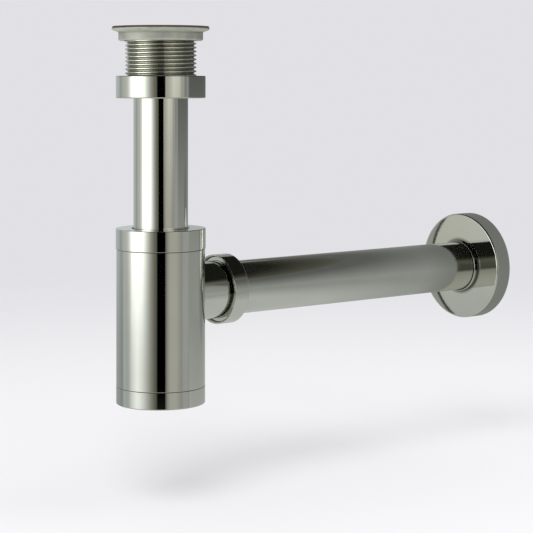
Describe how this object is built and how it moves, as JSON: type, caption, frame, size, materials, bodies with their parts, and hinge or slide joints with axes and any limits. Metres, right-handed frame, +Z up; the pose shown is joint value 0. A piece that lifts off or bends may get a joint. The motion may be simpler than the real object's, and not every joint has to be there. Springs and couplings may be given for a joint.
{
  "type": "bottle p trap",
  "caption": "Round washbasin bottle trap with threaded inlet nut, telescoping inlet tube, screw-off cleaning cup and a straight outlet tube with wall flange.",
  "frame": {"origin": "on the trap's vertical axis, level with the underside of the basin (top of the basin seal)", "axes": "+Z up along the inlet, +X along the outlet tube towards the wall"},
  "size_m": [0.3047, 0.07, 0.2202],
  "materials": {
    "polished_nickel": "mirror-polished nickel plate, warm grey",
    "cast_nickel": "nickel-plated casting, satin and slightly grainy",
    "nickel_thread": "nickel-plated cut thread, semi-bright",
    "raw_brass": "bare machined brass",
    "black_rubber": "matt moulded rubber",
    "brown_rubber": "matt brown sealing rubber",
    "white_nylon": "natural nylon, slightly translucent look"
  },
  "bodies": {
    "waste": {"waste_tail": "nickel_thread"},
    "basin_seal": {"basin_seal_washer": "brown_rubber"},
    "backnut": {"backnut": "cast_nickel"},
    "slip_washer": {"slip_washer": "white_nylon"},
    "slip_nut": {"slip_nut": "polished_nickel"},
    "inlet_tube": {"inlet_tube": "polished_nickel", "inlet_tube_collar": "raw_brass", "union_washer": "black_rubber"},
    "top_seal": {"top_seal": "black_rubber"},
    "bottle": {"bottle_body": "polished_nickel", "upper_collar": "raw_brass", "lower_collar": "raw_brass", "outlet_spigot": "polished_nickel"},
    "top_friction_ring": {"top_friction_ring": "white_nylon"},
    "top_ring_nut": {"top_ring_nut": "polished_nickel"},
    "cup_o_ring": {"cup_o_ring": "black_rubber"},
    "cleaning_cup": {"cleaning_cup": "polished_nickel"},
    "outlet_seal": {"outlet_seal": "black_rubber"},
    "outlet_tube": {"outlet_tube": "polished_nickel"},
    "outlet_friction_ring": {"outlet_friction_ring": "white_nylon"},
    "outlet_nut": {"outlet_nut": "polished_nickel"},
    "flange_o_ring": {"flange_o_ring": "black_rubber"},
    "wall_flange": {"wall_flange": "polished_nickel"}
  },
  "joints": [
    {"name": "backnut_travel", "type": "slide", "parent": "waste", "child": "basin_seal", "axis": [0, 0, -1], "range_m": [0, 0.01847]},
    {"name": "backnut_turn", "type": "hinge", "parent": "basin_seal", "child": "backnut", "pos_m": [0, 0, 0], "axis": [0, 0, -1], "range_deg": [0, 2881]},
    {"name": "slip_nut_travel", "type": "slide", "parent": "waste", "child": "slip_washer", "axis": [0, 0, -1], "range_m": [0, 0.00693]},
    {"name": "slip_nut_turn", "type": "hinge", "parent": "slip_washer", "child": "slip_nut", "pos_m": [0, 0, 0], "axis": [0, 0, -1], "range_deg": [0, 1081]},
    {"name": "inlet_swivel", "type": "hinge", "parent": "waste", "child": "inlet_tube", "pos_m": [0, 0, 0], "axis": [0, 0, 1], "continuous": true},
    {"name": "height_adjust", "type": "slide", "parent": "inlet_tube", "child": "top_seal", "axis": [0, 0, 1], "range_m": [-0.06, 0.01]},
    {"name": "bottle_swivel", "type": "hinge", "parent": "top_seal", "child": "bottle", "pos_m": [0, 0, 0], "axis": [0, 0, 1], "continuous": true},
    {"name": "ring_nut_travel", "type": "slide", "parent": "bottle", "child": "top_friction_ring", "axis": [0, 0, 1], "range_m": [0, 0.00825]},
    {"name": "ring_nut_turn", "type": "hinge", "parent": "top_friction_ring", "child": "top_ring_nut", "pos_m": [0, 0, 0], "axis": [0, 0, 1], "range_deg": [0, 1981]},
    {"name": "cup_travel", "type": "slide", "parent": "bottle", "child": "cup_o_ring", "axis": [0, 0, -1], "range_m": [0, 0.009]},
    {"name": "cup_turn", "type": "hinge", "parent": "cup_o_ring", "child": "cleaning_cup", "pos_m": [0, 0, 0], "axis": [0, 0, -1], "range_deg": [0, 2161]},
    {"name": "outlet_tube_turn", "type": "hinge", "parent": "bottle", "child": "outlet_seal", "pos_m": [0, 0, -0.157], "axis": [1, 0, 0], "continuous": true},
    {"name": "outlet_reach", "type": "slide", "parent": "outlet_seal", "child": "outlet_tube", "axis": [1, 0, 0], "range_m": [-0.01, 0.009]},
    {"name": "outlet_nut_travel", "type": "slide", "parent": "bottle", "child": "outlet_friction_ring", "axis": [1, 0, 0], "range_m": [0, 0.0075]},
    {"name": "outlet_nut_turn", "type": "hinge", "parent": "outlet_friction_ring", "child": "outlet_nut", "pos_m": [0, 0, -0.157], "axis": [1, 0, 0], "range_deg": [0, 1801]},
    {"name": "flange_slide", "type": "slide", "parent": "outlet_tube", "child": "flange_o_ring", "axis": [1, 0, 0], "range_m": [-0.18, 0.01]},
    {"name": "flange_turn", "type": "hinge", "parent": "flange_o_ring", "child": "wall_flange", "pos_m": [0, 0, -0.157], "axis": [1, 0, 0], "continuous": true}
  ],
  "couplings": [
    {"joint": "backnut_turn", "follows": "backnut_travel", "rad_per_m": 2721.2},
    {"joint": "slip_nut_turn", "follows": "slip_nut_travel", "rad_per_m": 2721.2},
    {"joint": "ring_nut_turn", "follows": "ring_nut_travel", "rad_per_m": 4188.8},
    {"joint": "cup_turn", "follows": "cup_travel", "rad_per_m": 4188.8},
    {"joint": "outlet_nut_turn", "follows": "outlet_nut_travel", "rad_per_m": 4188.8}
  ]
}
